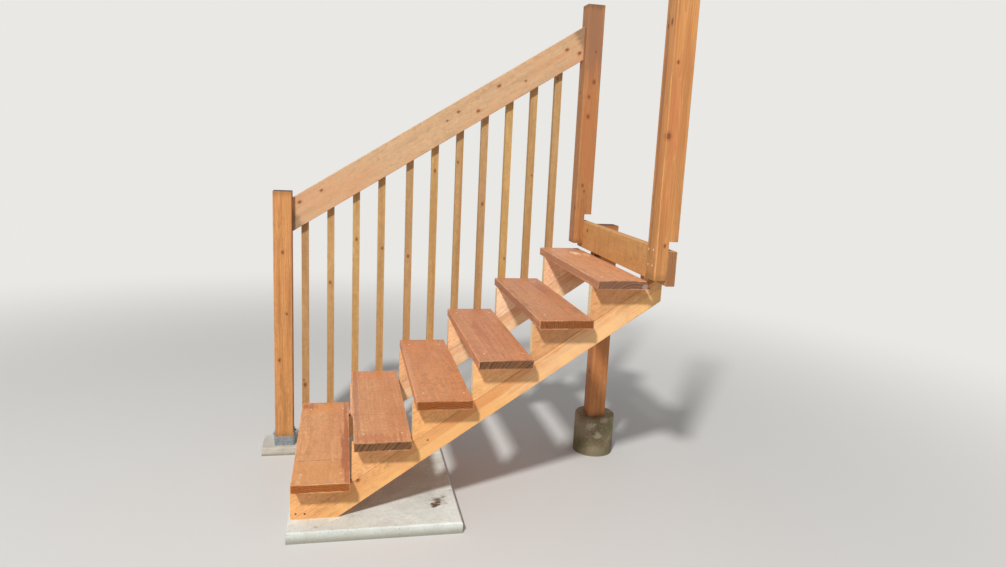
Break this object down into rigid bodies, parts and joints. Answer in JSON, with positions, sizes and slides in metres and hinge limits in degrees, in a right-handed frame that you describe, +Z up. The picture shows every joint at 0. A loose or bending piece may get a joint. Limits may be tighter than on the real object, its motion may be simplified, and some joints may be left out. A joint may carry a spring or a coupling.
{
  "type": "wooden deck stairs with railing",
  "caption": "Short straight open-riser flight of plank treads on two sawtooth carriages, with a square baluster railing on one side, a concrete pad at its foot and a post on a pier at its head.",
  "frame": {"origin": "on the ground under the concrete pad, straight below the first tread's front edge, at the middle of the treads' length", "axes": "+X up the flight, +Y towards the railing, +Z up"},
  "size_m": [1.8505, 1.214, 2.333],
  "materials": {
    "tread_wood": "satin",
    "carriage_wood": "satin",
    "block_wood": "satin",
    "post_wood": "satin",
    "rail_wood": "satin",
    "baluster_wood": "satin",
    "rim_wood": "satin",
    "pad_concrete": "matte",
    "pier_concrete": "matte",
    "galvanized_steel": "satin"
  },
  "bodies": {
    "root": {"baluster_01": "baluster_wood", "baluster_02": "baluster_wood", "baluster_03": "baluster_wood", "baluster_04": "baluster_wood", "baluster_05": "baluster_wood", "baluster_06": "baluster_wood", "baluster_07": "baluster_wood", "baluster_08": "baluster_wood", "baluster_09": "baluster_wood", "baluster_10": "baluster_wood", "baluster_11": "baluster_wood", "concrete_pad": "pad_concrete", "concrete_pier": "pier_concrete", "corner_post": "post_wood", "handrail": "rail_wood", "lower_newel": "post_wood", "newel_footing": "pad_concrete", "newel_shoe": "galvanized_steel", "open_side_block_1": "block_wood", "open_side_block_2": "block_wood", "open_side_block_3": "block_wood", "open_side_block_4": "block_wood", "open_side_block_5": "block_wood", "open_side_block_6": "block_wood", "open_side_carriage": "carriage_wood", "open_side_cleat": "carriage_wood", "rail_side_block_1": "block_wood", "rail_side_block_2": "block_wood", "rail_side_block_3": "block_wood", "rail_side_block_4": "block_wood", "rail_side_block_5": "block_wood", "rail_side_block_6": "block_wood", "rail_side_carriage": "carriage_wood", "rail_side_cleat": "carriage_wood", "rim_board": "rim_wood", "support_post": "post_wood", "tread_1": "tread_wood", "tread_2": "tread_wood", "tread_3": "tread_wood", "tread_4": "tread_wood", "tread_5": "tread_wood", "tread_6": "tread_wood", "upper_newel": "post_wood"}
  },
  "joints": []
}
